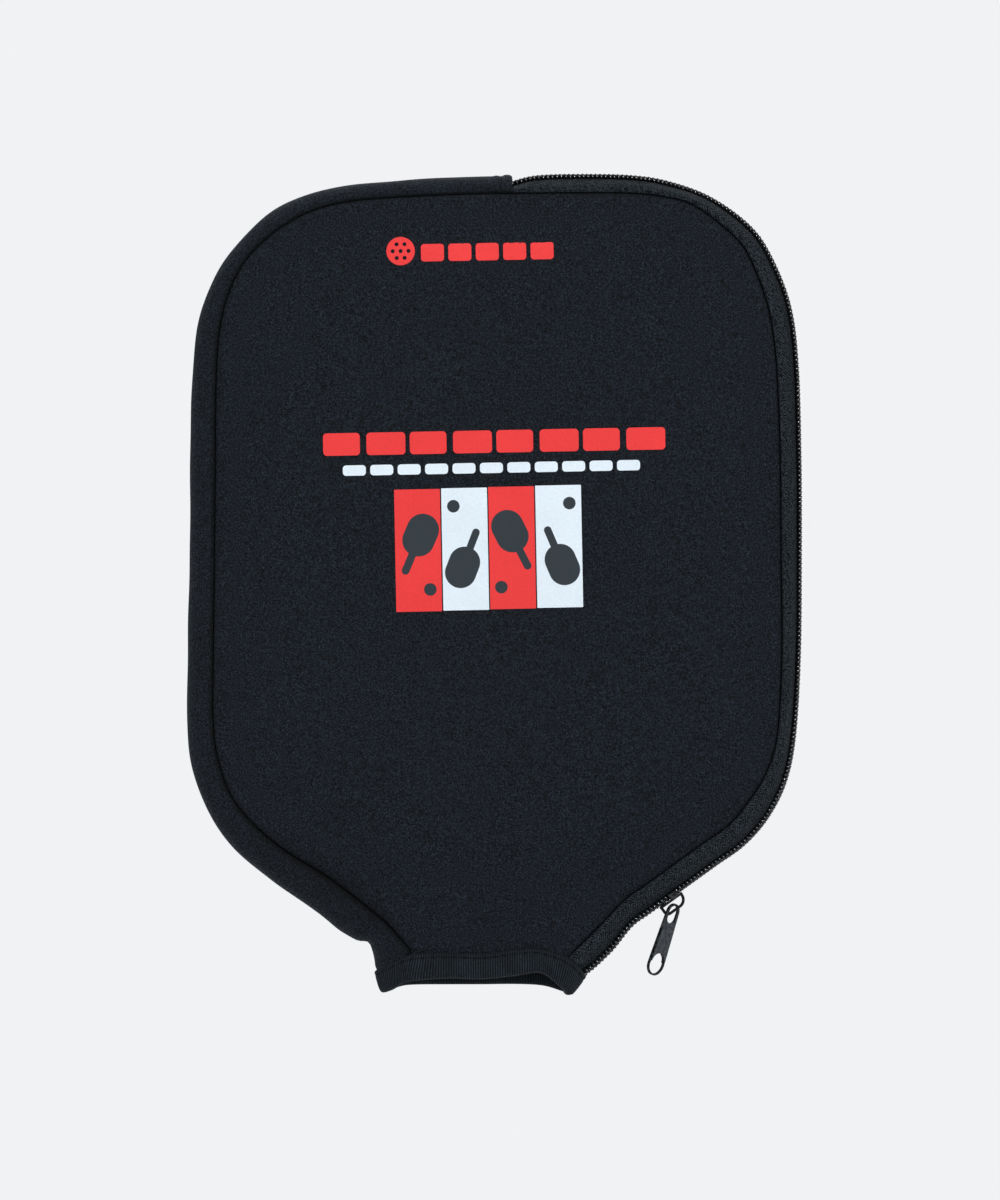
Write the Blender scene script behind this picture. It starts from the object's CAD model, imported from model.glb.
import bpy
import bmesh
import math
import numpy as np
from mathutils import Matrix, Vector
from mathutils.bvhtree import BVHTree
from mathutils.geometry import tessellate_polygon


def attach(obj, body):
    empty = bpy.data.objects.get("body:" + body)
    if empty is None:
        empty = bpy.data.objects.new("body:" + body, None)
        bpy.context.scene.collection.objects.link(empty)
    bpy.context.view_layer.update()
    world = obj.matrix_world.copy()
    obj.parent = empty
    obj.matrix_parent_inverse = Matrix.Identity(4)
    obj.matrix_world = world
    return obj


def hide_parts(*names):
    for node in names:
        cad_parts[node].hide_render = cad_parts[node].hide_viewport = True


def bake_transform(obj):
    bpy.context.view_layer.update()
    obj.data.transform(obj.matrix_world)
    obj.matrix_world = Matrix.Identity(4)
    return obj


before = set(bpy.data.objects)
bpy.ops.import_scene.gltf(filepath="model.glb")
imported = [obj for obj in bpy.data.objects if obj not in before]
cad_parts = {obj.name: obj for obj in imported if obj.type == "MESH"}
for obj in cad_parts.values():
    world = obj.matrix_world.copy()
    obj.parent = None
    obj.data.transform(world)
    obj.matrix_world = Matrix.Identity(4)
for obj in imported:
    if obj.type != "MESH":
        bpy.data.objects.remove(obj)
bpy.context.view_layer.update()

MILLI = 0.001
FRONT, BACK = -1, 1                 # sign of Y
SIDES = (("front", FRONT), ("back", BACK))

# ------------------------------------------------------------------ plan curves
SPLINE_STEPS = 24                   # points per station gap

# the straight lower right part of the zip
SLIDER_SHIFT = -0.8
RUN_ANGLE = math.radians(35.77)
RUN_START = np.array([59.4, 31.0])
RUN_ALONG = np.array([math.cos(RUN_ANGLE), math.sin(RUN_ANGLE)])
RUN_OUTWARD = np.array([math.sin(RUN_ANGLE), -math.cos(RUN_ANGLE)])


def run_station(distance, width, gap):
    """A station of the right side, a distance up the straight part."""
    outer = RUN_START + distance * RUN_ALONG
    seam = outer - width * RUN_OUTWARD
    return [outer[0], outer[1], seam[0], seam[1], gap]


# Right side, top to mouth: outer x, z; seam x, z; how far each coil stands off the middle.
RIGHT = np.array([
    [7, 297.8, 7, 293.1, 0], [15.5, 299.8, 16, 293.15, 0], [31, 300.3, 33, 293.25, 0],
    [50, 299.9, 50, 293.1, 0], [64, 297.7, 62, 291.8, 0], [79, 292.2, 73.6, 288.4, 0],
    [93, 282.3, 88.2, 277, 0], [101.1, 271.3, 94.4, 267.5, 0], [108.5, 252.6, 100.4, 250.5, 0],
    [111.4, 230, 103.3, 229, 0], [112.4, 195, 104.6, 195, 0], [112.5, 160, 104.9, 160, 0],
    [112.2, 126, 105.2, 126, 0], [110.6, 95, 103.7, 96.5, 0], [107.2, 77.5, 99.8, 82, 0],
    [100.5, 64.2, 93.6, 71.6, 0],
    run_station(40, 10, 0), run_station(28, 10, 0), run_station(16, 10, 0),
    run_station(11 + SLIDER_SHIFT, 10, 0), run_station(8 + SLIDER_SHIFT, 10, 0),
    run_station(5.7 + SLIDER_SHIFT, 10, 1.25), run_station(2 + SLIDER_SHIFT, 10, 1.3),
    run_station(-4, 10.2, 1.3), run_station(-10, 9.6, 1.3),
    [43.6, 17, 38.6, 25.4, 1.4], [37.4, 11, 32.6, 19.4, 1.5], [34.4, 8.6, 28.6, 15.6, 1.6]], float)
# Two more stations of the zip, above the first one of RIGHT.
ZIP_HEAD = np.array([[2.6, 297.0, 2.6, 293.1, 0], [4.8, 297.35, 4.8, 293.1, 0]])
# Left side, top to mouth: outer x, z; seam x, z.
LEFT = np.array([
    [2, 299.7, 2, 293.1], [-15, 299.3, -15, 292.6], [-35, 298.2, -34, 291.7],
    [-54, 296.3, -52, 290.2], [-70, 292.4, -66.5, 286.6], [-84, 285, -79.2, 279.6],
    [-96.7, 271.7, -90, 269.5], [-104.1, 258.9, -96.4, 258], [-108.8, 243.5, -100.3, 243],
    [-110.8, 222, -101.6, 222], [-111.3, 190, -101.9, 190], [-111.6, 155, -102.2, 155],
    [-112.3, 122, -102.6, 122], [-112.4, 98, -102.6, 100], [-110.3, 82.3, -101, 87],
    [-104.5, 66.5, -96.2, 73.4], [-94.9, 52.9, -87.5, 62.2], [-81.5, 42, -75.5, 52.3],
    [-67, 31.6, -61.5, 43.6], [-55.6, 22.9, -50.5, 35.4], [-50.4, 19.4, -44, 30.2],
    [-46, 19.2, -40, 27], [-44.1, 15.6, -35.5, 22.4], [-43.7, 10.4, -30.6, 16.7]], float)
# Mouth binding, a closed ring: x, y, z of its upper edge; the vector from there to its lower edge.
MOUTH = np.array([
    [-29.5, -8.5, 15.2, -1.8, 0.6, -10.2], [-17, -8.5, 15.7, 0, 0, -9.4],
    [-4.4, -8.5, 15.3, 0, 0, -9.3], [8, -8.5, 16.9, 0, 0, -9.6], [17, -8.5, 17, 0, 0, -8.7],
    [26.3, -8.2, 14.2, -2.6, 0.8, -10.7], [30.6, -5.2, 10.4, -4.4, 0.5, -9.9],
    [32.2, 0, 7.8, -6.0, 0, -7.8], [30.6, 5.2, 10, -4.6, -0.5, -9.6],
    [26.3, 8.2, 13.2, -2.4, -0.8, -12.1], [17, 8.5, 13.4, 0.6, 0, -10.6],
    [8, 8.5, 13.8, 0, 0, -10.5], [-4.4, 8.5, 13.6, 0, 0, -10.4], [-17, 8.5, 13.4, 0, 0, -10.2],
    [-29.5, 8.5, 13.4, -1.8, -0.6, -10.4], [-37.8, 5.6, 11.2, 1, -0.5, -9.4],
    [-42, 0, 8.9, 2.4, 0, -8.1], [-37.8, -5.6, 11.4, 1, 0.5, -9.3]], float)


def catmull_rom(before, start, end, after, part):
    """Point at a fraction of the way from start to end."""
    return 0.5 * (2 * start + (end - before) * part
                  + (2 * before - 5 * start + 4 * end - after) * part * part
                  + (3 * start - before - 3 * end + after) * part ** 3)


def spline(stations, ring=False):
    count = len(stations)
    points = []
    for i in range(count if ring else count - 1):
        around = range(i - 1, i + 3)
        if ring:
            four = [stations[j % count] for j in around]
        else:
            four = [stations[min(max(j, 0), count - 1)] for j in around]
        points += [catmull_rom(*four, k / SPLINE_STEPS) for k in range(SPLINE_STEPS)]
    if not ring:
        points.append(stations[-1])
    return np.array(points)


def arc_length(points):
    """Distance along the points, from 0."""
    return np.concatenate([[0], np.cumsum(np.linalg.norm(np.diff(points, axis=0), axis=1))])


def resample(rows, step, cols=(0, 1), ring=False):
    """Rows spaced evenly along the length of the chosen columns, and their distances."""
    path = np.vstack([rows, rows[:1]]) if ring else rows
    length = arc_length(path[:, list(cols)])
    count = int(round(length[-1] / step)) + (0 if ring else 1)
    marks = np.linspace(0, length[-1], count, endpoint=not ring)
    columns = [np.interp(marks, length, path[:, c]) for c in range(path.shape[1])]
    return np.stack(columns, axis=1), marks


def carry_on(rows, distances, direction):
    """Copies the last station on by each distance, outer and seam side alike."""
    added = []
    for distance in distances:
        row = rows[-1].copy()
        row[:4] += distance * np.tile(direction, 2)
        added.append(row)
    return np.vstack([rows, added])


END_STEPS = np.linspace(0, 1, 9)[1:]
right_curve = spline(RIGHT)
left_curve = spline(LEFT)
mouth_curve = spline(MOUTH, ring=True)
tape_curve = carry_on(np.vstack([ZIP_HEAD, right_curve]), 3.4 * END_STEPS,
                      np.array([-0.77, -0.638]))
coil_curve = carry_on(np.vstack([ZIP_HEAD[1:], right_curve]), 1.6 * END_STEPS,
                      np.array([-0.74, -0.67]))


def station_frames(rows):
    """Outer points, seam points, widths and unit vectors from seam to outer."""
    outer, seam = rows[:, 0:2], rows[:, 2:4]
    width = np.linalg.norm(outer - seam, axis=1)
    return outer, seam, width, (outer - seam) / width[:, None]


def place(origin, outward, out, across):
    """3D points from plan origin, distance along outward, and Y."""
    return np.stack([origin[0] + out * outward[0], across, origin[1] + out * outward[1]], axis=1)


def smooth01(value):
    value = np.clip(value, 0, 1)
    return value * value * (3 - 2 * value)


# ------------------------------------------------------------------ mesh helpers
def make(name, verts, faces, uv=None, smooth=True, ao=None):
    """A mesh object from millimetre points. ao darkens the cloth where it turns into a seam."""
    mesh = bpy.data.meshes.new(name)
    mesh.from_pydata([tuple(v) for v in np.asarray(verts, float) * MILLI], [],
                     [tuple(int(i) for i in f) for f in faces])
    if uv is not None:
        layer = mesh.uv_layers.new(name="UVMap")
        corners = np.zeros(len(mesh.loops), int)
        mesh.loops.foreach_get("vertex_index", corners)
        layer.data.foreach_set("uv", np.asarray(uv, float)[corners].ravel())
    if smooth:
        mesh.polygons.foreach_set("use_smooth", [True] * len(mesh.polygons))
    shade = mesh.attributes.new("ao", "FLOAT", "POINT")
    values = np.ones(len(mesh.vertices)) if ao is None else np.asarray(ao, float).ravel()
    shade.data.foreach_set("value", values)
    mesh.validate()
    mesh.update()
    obj = bpy.data.objects.new(name, mesh)
    bpy.context.scene.collection.objects.link(obj)
    return obj


def make_solid(*args, **options):
    """make(), with every face turned outward."""
    obj = make(*args, **options)
    bm = bmesh.new()
    bm.from_mesh(obj.data)
    bmesh.ops.recalc_face_normals(bm, faces=bm.faces)
    bm.to_mesh(obj.data)
    bm.free()
    return obj


def skin_faces(count, sides, ring=False, base=0):
    """Faces joining count closed sections, capped at both ends unless the path is a ring."""
    faces = []
    for i in range(count if ring else count - 1):
        here, there = base + i * sides, base + ((i + 1) % count) * sides
        for j in range(sides):
            k = (j + 1) % sides
            faces.append((here + j, here + k, there + k, there + j))
    if not ring:
        faces.append(tuple(base + j for j in range(sides - 1, -1, -1)))
        faces.append(tuple(base + (count - 1) * sides + j for j in range(sides)))
    return faces


def sweep(name, sections, ring=False, along=None, ao=None):
    """Skins closed sections[count, sides, 3]; UVs are millimetres along and across."""
    count, sides = sections.shape[:2]
    if along is None:
        along = arc_length(sections.mean(1))
    edges = np.linalg.norm(np.roll(sections, -1, axis=1) - sections, axis=2).mean(0)
    across = np.concatenate([[0], np.cumsum(edges)[:-1]])
    uv = np.stack([np.repeat(along, sides), np.tile(across, count)], axis=1)
    return make_solid(name, sections.reshape(-1, 3), skin_faces(count, sides, ring), uv=uv, ao=ao)


def ring_angles(count):
    return np.arange(count) * 2 * math.pi / count


def unit(vectors):
    return vectors / np.linalg.norm(vectors, axis=1, keepdims=True)


def tube(centres, reference, radii, sides):
    """Round sections about a path; reference fixes where each section starts."""
    along = unit(np.gradient(centres, axis=0))
    first = unit(np.cross(along, reference))
    second = np.cross(along, first)
    angle = ring_angles(sides)
    circle = (np.cos(angle)[None, :, None] * first[:, None, :]
              + np.sin(angle)[None, :, None] * second[:, None, :])
    return centres[:, None, :] + radii[:, None, None] * circle


def threads(name, paths, radius):
    """One object of short capped threads, narrowed at both ends."""
    sides, end_taper, uv_step = 6, 0.55, 0.4
    reference = np.array([0.31, 0.52, 0.79])
    verts, faces, uv = [], [], []
    for path in paths:
        centres = np.array(path, float)
        radii = np.full(len(centres), radius)
        radii[[0, -1]] *= end_taper
        faces += skin_faces(len(centres), sides, base=len(verts))
        verts += list(tube(centres, reference, radii, sides).reshape(-1, 3))
        uv += [(i * uv_step, a * radius) for i in range(len(centres)) for a in ring_angles(sides)]
    return make_solid(name, verts, faces, uv=uv)


# ------------------------------------------------------------------ crown of the panels
PAD_HALF = 5.0                      # half the depth of the form the cloth is blown up from


def outline_loop(step):
    """The panels' seam line as a closed loop: left of the mouth, up, round and back."""
    front = np.vstack([mouth_curve[-SPLINE_STEPS:], mouth_curve[0:5 * SPLINE_STEPS]])
    bottom = front[::-1][:, [0, 2]] + np.array([0, -2.2])
    bottom = bottom[(bottom[:, 0] > -31.0) & (bottom[:, 0] < 27.0)]
    loop = np.vstack([left_curve[::-1][:, 2:4], right_curve[:, 2:4], bottom])
    return resample(loop, step, ring=True)[0]


def run_cloth():
    """A closed pad, remeshed and blown up a little with pressure, as a tree for ray casts."""
    loop = outline_loop(6.0)
    n = len(loop)
    centre = loop.mean(0)
    inner = centre + (loop - centre) * 0.965
    rim = centre + (loop - centre) * 1.02
    verts = [(x, y, z) for y, ring in ((-PAD_HALF, inner), (PAD_HALF, inner), (0.0, rim))
             for x, z in ring]
    faces = [tuple(range(n)), tuple(range(2 * n - 1, n - 1, -1))]
    for i in range(n):
        j = (i + 1) % n
        faces += [(i, 2 * n + i, 2 * n + j, j), (2 * n + i, n + i, n + j, 2 * n + j)]
    form = make_solid("pad_form", verts, faces, smooth=False)
    remesh = form.modifiers.new("remesh", "REMESH")
    remesh.mode = "VOXEL"
    remesh.voxel_size = 0.005
    bpy.context.view_layer.objects.active = form
    form.select_set(True)
    bpy.ops.object.modifier_apply(modifier="remesh")
    rest = np.array([v.co for v in form.data.vertices])

    cloth = form.modifiers.new("cloth", "CLOTH")
    settings = cloth.settings
    settings.quality = 6
    settings.mass = 0.15
    settings.tension_stiffness = 22
    settings.compression_stiffness = 14
    settings.shear_stiffness = 8
    settings.bending_stiffness = 1.2
    settings.use_pressure = True
    settings.uniform_pressure_force = 3.2
    settings.effector_weights.gravity = 0.0
    cloth.collision_settings.use_self_collision = False
    first, last = 1, 20
    scene = bpy.context.scene
    scene.frame_start, scene.frame_end = first, last
    cloth.point_cache.frame_start, cloth.point_cache.frame_end = first, last
    for f in range(first, last + 1):
        scene.frame_set(f)
    depsgraph = bpy.context.evaluated_depsgraph_get()
    blown = form.evaluated_get(depsgraph).to_mesh()
    move = np.array([v.co for v in blown.vertices]) - rest
    length = np.linalg.norm(move, axis=1, keepdims=True)
    furthest = 0.009                # metres
    points = rest + move * np.minimum(1, furthest / np.maximum(length, 1e-9))
    polygons = [tuple(p.vertices) for p in blown.polygons]
    form.evaluated_get(depsgraph).to_mesh_clear()
    scene.frame_set(first)
    tree = BVHTree.FromPolygons([Vector(v) for v in points], polygons)
    bpy.data.objects.remove(form)
    return tree


GRID_X = np.arange(-116, 117, 4.0)
GRID_Z = np.arange(0, 305, 4.0)
grid_x, grid_z = np.meshgrid(GRID_X, GRID_Z, indexing="ij")


def blur(grid, passes):
    for _ in range(passes):
        pad = np.pad(grid, 1, mode="edge")
        grid = (pad[:-2, 1:-1] + pad[2:, 1:-1] + pad[1:-1, :-2] + pad[1:-1, 2:] + 4 * grid) / 8
    return grid


def crown_heights():
    """Crown of the front and of the back panel on the grid."""
    plain = (1.7 * np.clip(1 - (np.abs(grid_x + 0.5) / 104) ** 3.2, 0, 1)
             * np.clip(1 - (np.abs(grid_z - 165) / 132) ** 3.5, 0, 1))
    tree = run_cloth()
    crowns = []
    for _, side in SIDES:
        grid = np.zeros(grid_x.shape)
        for i, x in enumerate(GRID_X):
            for j, z in enumerate(GRID_Z):
                hit = tree.ray_cast(Vector((x * MILLI, side * 0.1, z * MILLI)),
                                    Vector((0, -side, 0)))[0]
                grid[i, j] = side * hit.y / MILLI - PAD_HALF if hit is not None else 0.0
        grid = blur(grid, 2)
        top = np.percentile(grid, 97)
        if top > 1e-6:
            grid *= 1.9 / top
        crowns.append(0.65 * np.clip(grid, 0, 2.3) + 0.35 * plain)
    return crowns


crown_front, crown_back = crown_heights()
# Broad, soft unevenness of foam under cloth.
uneven = (0.16 * np.sin(grid_x / 23.0 + 0.6) * np.sin(grid_z / 31.0 + 1.1)
          + 0.10 * np.sin(grid_x / 11.0 - grid_z / 17.0 + 0.4)
          + 0.07 * np.sin(grid_x / 7.5 + grid_z / 9.5 + 2.0))
crown_front = crown_front + uneven
crown_back = crown_back - uneven[::-1]


def grid_at(grid, x, z):
    """The grid's value at points between its nodes, smoothly blended."""
    col = np.clip((x - GRID_X[0]) / (GRID_X[1] - GRID_X[0]), 0, len(GRID_X) - 1.001)
    row = np.clip((z - GRID_Z[0]) / (GRID_Z[1] - GRID_Z[0]), 0, len(GRID_Z) - 1.001)
    i, j = col.astype(int), row.astype(int)
    right, up = smooth01(col - i), smooth01(row - j)
    return (grid[i, j] * (1 - right) * (1 - up) + grid[i + 1, j] * right * (1 - up)
            + grid[i, j + 1] * (1 - right) * up + grid[i + 1, j + 1] * right * up)


EDGE = outline_loop(2.0)


def edge_distance(points):
    """Distance of x, z points to the outline, found a batch at a time."""
    batch = 4000
    out = np.full(len(points), 1e9)
    side = np.roll(EDGE, -1, axis=0) - EDGE
    square = (side ** 2).sum(1)
    for i in range(0, len(points), batch):
        offset = points[i:i + batch][:, None, :] - EDGE[None]
        part = np.clip((offset * side[None]).sum(2) / square[None], 0, 1)
        gap = np.linalg.norm(offset - part[..., None] * side[None], axis=2)
        out[i:i + batch] = gap.min(1)
    return out


def corner_pull(x, z):
    """1 along the lower left curve, where the cloth is pulled down into its seam."""
    return smooth01((72 - z) / 30) * smooth01((-30 - x) / 14)


PANEL_FACE = 10.0                   # outer face of a flat panel from the mid plane


def panel_height(crown, x, z, edge):
    """How far the panel's outer face stands from the mid plane; edge is the seam distance."""
    fade = smooth01(edge / 26.0)
    pull = corner_pull(x, z)
    roll = (1.35 * np.exp(-((edge + 0.15) / 1.25) ** 1.3)
            + (0.35 + 0.5 * pull) * np.exp(-edge / (4.5 + pull)))
    return PANEL_FACE + grid_at(crown, x, z) * fade - roll


def seam_shade(edge, wide, deep=0.80, reach=2.6):
    """A deep narrow shadow at the seam and a wide faint one beside it."""
    return np.clip(1 - deep * np.exp(-(edge / 0.46) ** 2) - wide * np.exp(-edge / reach), 0.08, 1)


# ------------------------------------------------------------------ panels
PANEL_CENTRE = np.array([-1.0, 158.0])
INNER_FACE = 7.0
RAW_EDGE = 8.0                      # middle of the rounded edge between the two faces


def panel(name, side, crown):
    """A padded sheet: rings shrinking from the outline to the centre, on both faces."""
    loop = outline_loop(1.9)
    n = len(loop)
    shrink = [0, 0.0022, 0.0046, 0.0075, 0.0115, 0.017, 0.025, 0.036, 0.05]
    while shrink[-1] < 0.985:
        shrink.append(shrink[-1] + 0.0185)
    shrink = [s for s in shrink if s < 0.985]
    rings = [PANEL_CENTRE + (loop - PANEL_CENTRE) * (1 - s) for s in shrink]
    plan = np.vstack(rings + [PANEL_CENTRE[None]])
    x, z = plan[:, 0], plan[:, 1]
    edge = edge_distance(plan)
    height = panel_height(crown, x, z, edge)
    inner = INNER_FACE + np.clip(height - PANEL_FACE, 0, 3) * 0.8 + 0.5 * np.exp(-edge / 1.6)
    verts = np.vstack([np.stack([x, side * height, z], axis=1),
                       np.stack([x, side * inner, z], axis=1),
                       np.stack([loop[:, 0], side * np.full(n, RAW_EDGE), loop[:, 1]], axis=1)])

    m = len(plan)
    faces = []
    for r in range(len(rings) - 1):
        for i in range(n):
            j = (i + 1) % n
            faces.append((r * n + i, r * n + j, (r + 1) * n + j, (r + 1) * n + i))
    last = (len(rings) - 1) * n
    for i in range(n):
        faces.append((last + i, last + (i + 1) % n, m - 1))
    faces += [tuple(reversed([m + i for i in face])) for face in faces]
    for i in range(n):
        j = (i + 1) % n
        faces += [(j, i, 2 * m + i, 2 * m + j), (2 * m + j, 2 * m + i, m + i, m + j)]

    pull = corner_pull(x, z)
    shade = seam_shade(edge, wide=0.10 + 0.50 * pull, reach=2.6 + 1.3 * pull)
    ao = np.concatenate([shade, np.full(m, 0.85), np.full(n, 0.2)])
    uv = np.vstack([plan, plan + [300, 0], loop])
    return make_solid(name, verts, faces, uv=uv, ao=ao)


front_sheet = panel("front_sheet", FRONT, crown_front)
back_sheet = panel("back_sheet", BACK, crown_back)

# ------------------------------------------------------------------ side gusset
GUSSET_HALF = 9.75                  # half depth, front to back
GUSSET_WALL = 2.5
GUSSET_BASE = 0.1                   # start of the arch, outward of the seam line
ARCH_POINTS = 26
ARCH = np.radians(np.linspace(-90, 90, ARCH_POINTS))


def gusset_arch(angle, width, reach, half):
    """Outward and Y offsets of a flattened arch from the front seam to the back one."""
    sine = np.sin(angle)
    out = -width + GUSSET_BASE + reach * np.abs(np.cos(angle)) ** 0.82
    return out, half * np.sign(sine) * np.abs(sine) ** 0.93


def wrinkle(distance):
    """Soft waves along the gusset, tighter ones round the lower left bend."""
    waves = 0.10 * math.sin(distance / 9.0) + 0.07 * math.sin(distance / 4.3 + 1.3)
    bend = np.exp(-((distance - 395) / 16.0) ** 2)
    return waves + 0.45 * bend * math.sin(distance / 2.6)


def gusset_sections(rows, wrinkled=True):
    outer, seam, width, outward = station_frames(rows)
    run = arc_length(outer)
    cosine, sine = np.cos(ARCH), np.sin(ARCH)
    # the cloth turns down into the seam at both edges
    dip = np.sign(sine) * 0.75 * np.exp(-((1 - np.abs(sine)) / 0.010) ** 0.8)
    sections = []
    for i in range(len(rows)):
        out, across = gusset_arch(ARCH, width[i], width[i] - GUSSET_BASE, GUSSET_HALF)
        across = across - dip
        if wrinkled:
            out = out + wrinkle(run[i]) * cosine ** 2 * np.cos(ARCH * 2)
        inner_out, inner_across = gusset_arch(ARCH, width[i], width[i] - GUSSET_WALL,
                                              GUSSET_HALF - GUSSET_WALL)
        out = np.concatenate([out, inner_out[::-1]])
        across = np.concatenate([across, inner_across[::-1]])
        end_taper = 1 - 0.10 * smooth01((run[i] - run[-1] + 3.2) / 3.2)
        sections.append(place(outer[i], outward[i], out, across * end_taper))
    sections = np.array(sections)
    around = arc_length(sections[len(sections) // 2][:ARCH_POINTS])
    edge = np.minimum(around, around[-1] - around)
    shade = [np.concatenate([seam_shade(edge, wide=0.05 + 0.49 * corner_pull(*point)),
                             np.full(ARCH_POINTS, 0.85)]) for point in seam]
    return sections, run, np.array(shade)


left_rows, _ = resample(left_curve, 1.4)
# run the end a little way in under the binding
left_rows = carry_on(left_rows, (0.8, 1.6, 2.4, 3.2), np.array([0.35, -0.95]))
sections, run, shade = gusset_sections(left_rows)
gusset = sweep("gusset_cloth", sections, along=run, ao=shade)

# Folded hem over the start of the zip: a stitched groove, a small roll and a rounded end.
HEM_TOP, HEM_SEAM = 299.62, 293.1
HEM_GROOVE = 2.6                    # x of the stitched groove
# x and lift of the hem's surface
HEM_LIFT = np.array([
    [-1.5, 0.04], [-0.9, 0.10], [0.0, 0.30], [1.0, 0.42], [1.9, 0.30], [2.3, 0.04], [2.6, -0.07],
    [2.9, 0.08], [3.3, 0.40], [4.2, 0.66], [5.4, 0.66], [6.1, 0.42], [6.5, 0.08], [6.7, -0.45],
    [6.78, -1.1]])


def make_hem():
    x = np.concatenate([[6.78, 6.76, 6.68, 6.5, 6.25], np.arange(5.9, -1.7, -0.24)])
    lift = np.interp(x, HEM_LIFT[:, 0], HEM_LIFT[:, 1])[:, None]
    rows = np.stack([x, HEM_TOP + 0.012 * (x - 2), x, np.full(len(x), HEM_SEAM)], axis=1)
    sections, _, shade = gusset_sections(rows, wrinkled=False)
    sections[:, :ARCH_POINTS, 2] += lift * np.cos(ARCH)
    sections[:, :ARCH_POINTS, 1] += (lift * 0.62 + 0.16) * np.sin(ARCH)
    groove = 0.45 * np.exp(-((x - HEM_GROOVE) / 0.3) ** 2)
    end = 0.75 * np.exp(-((x - 6.8) / 0.16) ** 2)
    shade[:, :ARCH_POINTS] *= (1 - groove - end)[:, None]
    return sweep("gusset_hem", sections, ao=shade)


hem = make_hem()


# ------------------------------------------------------------------ zip tapes
def lean(z):
    """0 where the zip stands edge on, 1 low down, where its coils turn to the front."""
    return smooth01((122 - z) / 62)


def spread(x, z):
    """1 below the slider's travel, where the open coils stand a little prouder."""
    return smooth01((51 - x) / 9) * smooth01((30 - z) / 8)


TAPE_THICK = 0.62
tape_rows, tape_run = resample(tape_curve, 1.3)


def make_zip_tape(side_name, side):
    outer, _, width, outward = station_frames(tape_rows)
    run = arc_length(outer)
    climb = np.linspace(0, 1, 9)
    slope_y = 9.6 + (4.3 - 9.6) * (climb ** 2.6) + 0.12 * np.sin(math.pi * climb)
    sections = []
    for i in range(len(tape_rows)):
        edge = -width[i] + 0.05
        seat = -1.74 - 0.82 * lean(outer[i][1]) + 0.85 * spread(*outer[i])
        # outer face: seam groove, roll, slope, flat under the coil
        slope_out = edge + 0.9 + (seat - 0.15 - edge - 0.9) * climb
        out = np.concatenate([[edge, edge + 0.12, edge + 0.4], slope_out, [seat] * 4])
        across = np.concatenate([[8.75, 9.3, 9.62], slope_y, [3.9, 3.2, 2.2, 1.4]])
        # inner face: the same line moved in
        step_out, step_across = np.gradient(out), np.gradient(across)
        step = np.hypot(step_out, step_across)
        inner_out = out + TAPE_THICK * step_across / step
        inner_across = across - TAPE_THICK * step_out / step
        out = np.concatenate([out, inner_out[::-1]])
        across = np.concatenate([across, inner_across[::-1]])
        taper = (1 - 0.16 * smooth01((run[i] - run[-1] + 3.6) / 3.4)
                 - 0.24 * smooth01((4.6 - run[i]) / 2.4))
        sections.append(place(outer[i], outward[i], out, side * across * taper))
    sections = np.array(sections)
    half = sections.shape[1] // 2
    around = arc_length(sections[len(sections) // 2][:half])
    coil_at = around[-4]
    shade = seam_shade(around, wide=0.06, deep=0.85)
    shade = shade * (1 - 0.86 * smooth01((0.6 - (coil_at - around)) / 0.9))
    shade = shade * np.interp(around / coil_at, [0, 0.12, 0.42, 0.60, 0.80, 1.0],
                              [0.80, 1.0, 1.0, 0.74, 0.50, 0.34])
    shade = np.concatenate([shade, np.full(half, 0.8)])
    return sweep("zip_tape_cloth_" + side_name, sections, along=tape_run,
                 ao=np.tile(shade, len(sections)))


tape_front, tape_back = [make_zip_tape(*side) for side in SIDES]

# ------------------------------------------------------------------ zip coils
COIL_PITCH = 1.63
TURN_POINTS = 14
COIL_SIDES = 8
LOOP_OUT, LOOP_ACROSS = 0.64, 0.98  # half sizes of one loop, outward and in Y
COIL_GAP = 0.16                     # between a closed coil and the mid plane
COIL_LEAN = np.radians(56)


def make_coil(side_name, side, phase):
    """A helix of flattened loops, tilted where the zip leans to the front."""
    rows, run = resample(coil_curve, COIL_PITCH / TURN_POINTS)
    outer, _, _, outward = station_frames(rows)
    gap = np.maximum(rows[:, 4], 0)
    theta = 2 * math.pi * (run / COIL_PITCH + phase)
    cosine, sine = np.cos(theta), np.sin(theta)
    leaning = lean(outer[:, 1])
    tilt = COIL_LEAN * leaning
    loop_out = LOOP_OUT * np.sign(cosine) * np.abs(cosine) ** 0.85
    loop_across = LOOP_ACROSS * np.sign(sine) * np.abs(sine) ** 0.85
    out = (-0.72 - 0.55 * leaning + 0.85 * spread(outer[:, 0], outer[:, 1])
           + loop_out * np.cos(tilt) - loop_across * np.sin(tilt))
    across = ((COIL_GAP + gap + 1.05 + 0.06 * leaning)
              + loop_out * np.sin(tilt) + loop_across * np.cos(tilt))
    centres = place(outer.T, outward.T, out, side * across)
    along = unit(np.gradient(outer, axis=0))
    reference = np.stack([along[:, 0], np.zeros(len(rows)), along[:, 1]], axis=1)
    radii = 0.46 - 0.10 * smooth01(-sine)
    return sweep("zip_coil_nylon_" + side_name, tube(centres, reference, radii, COIL_SIDES),
                 along=run, ao=np.repeat(1 - 0.35 * leaning, COIL_SIDES))


def make_cord(side_name, side):
    """The oval filler cord inside a coil."""
    rows, run = resample(coil_curve, 1.2)
    outer, _, _, outward = station_frames(rows)
    gap = np.maximum(rows[:, 4], 0)
    angle = ring_angles(10)
    sections = []
    for i in range(len(rows)):
        leaning, spreading = lean(outer[i][1]), spread(*outer[i])
        out = (-1.12 - 0.55 * leaning + 0.85 * spreading
               + (0.52 + 0.12 * leaning) * np.sin(angle))
        across = COIL_GAP + gap[i] + 1.06 + 0.06 * leaning + 0.40 * np.cos(angle)
        sections.append(place(outer[i], outward[i], out, side * across))
    return sweep("zip_filler_cord_" + side_name, np.array(sections), along=run)


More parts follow.
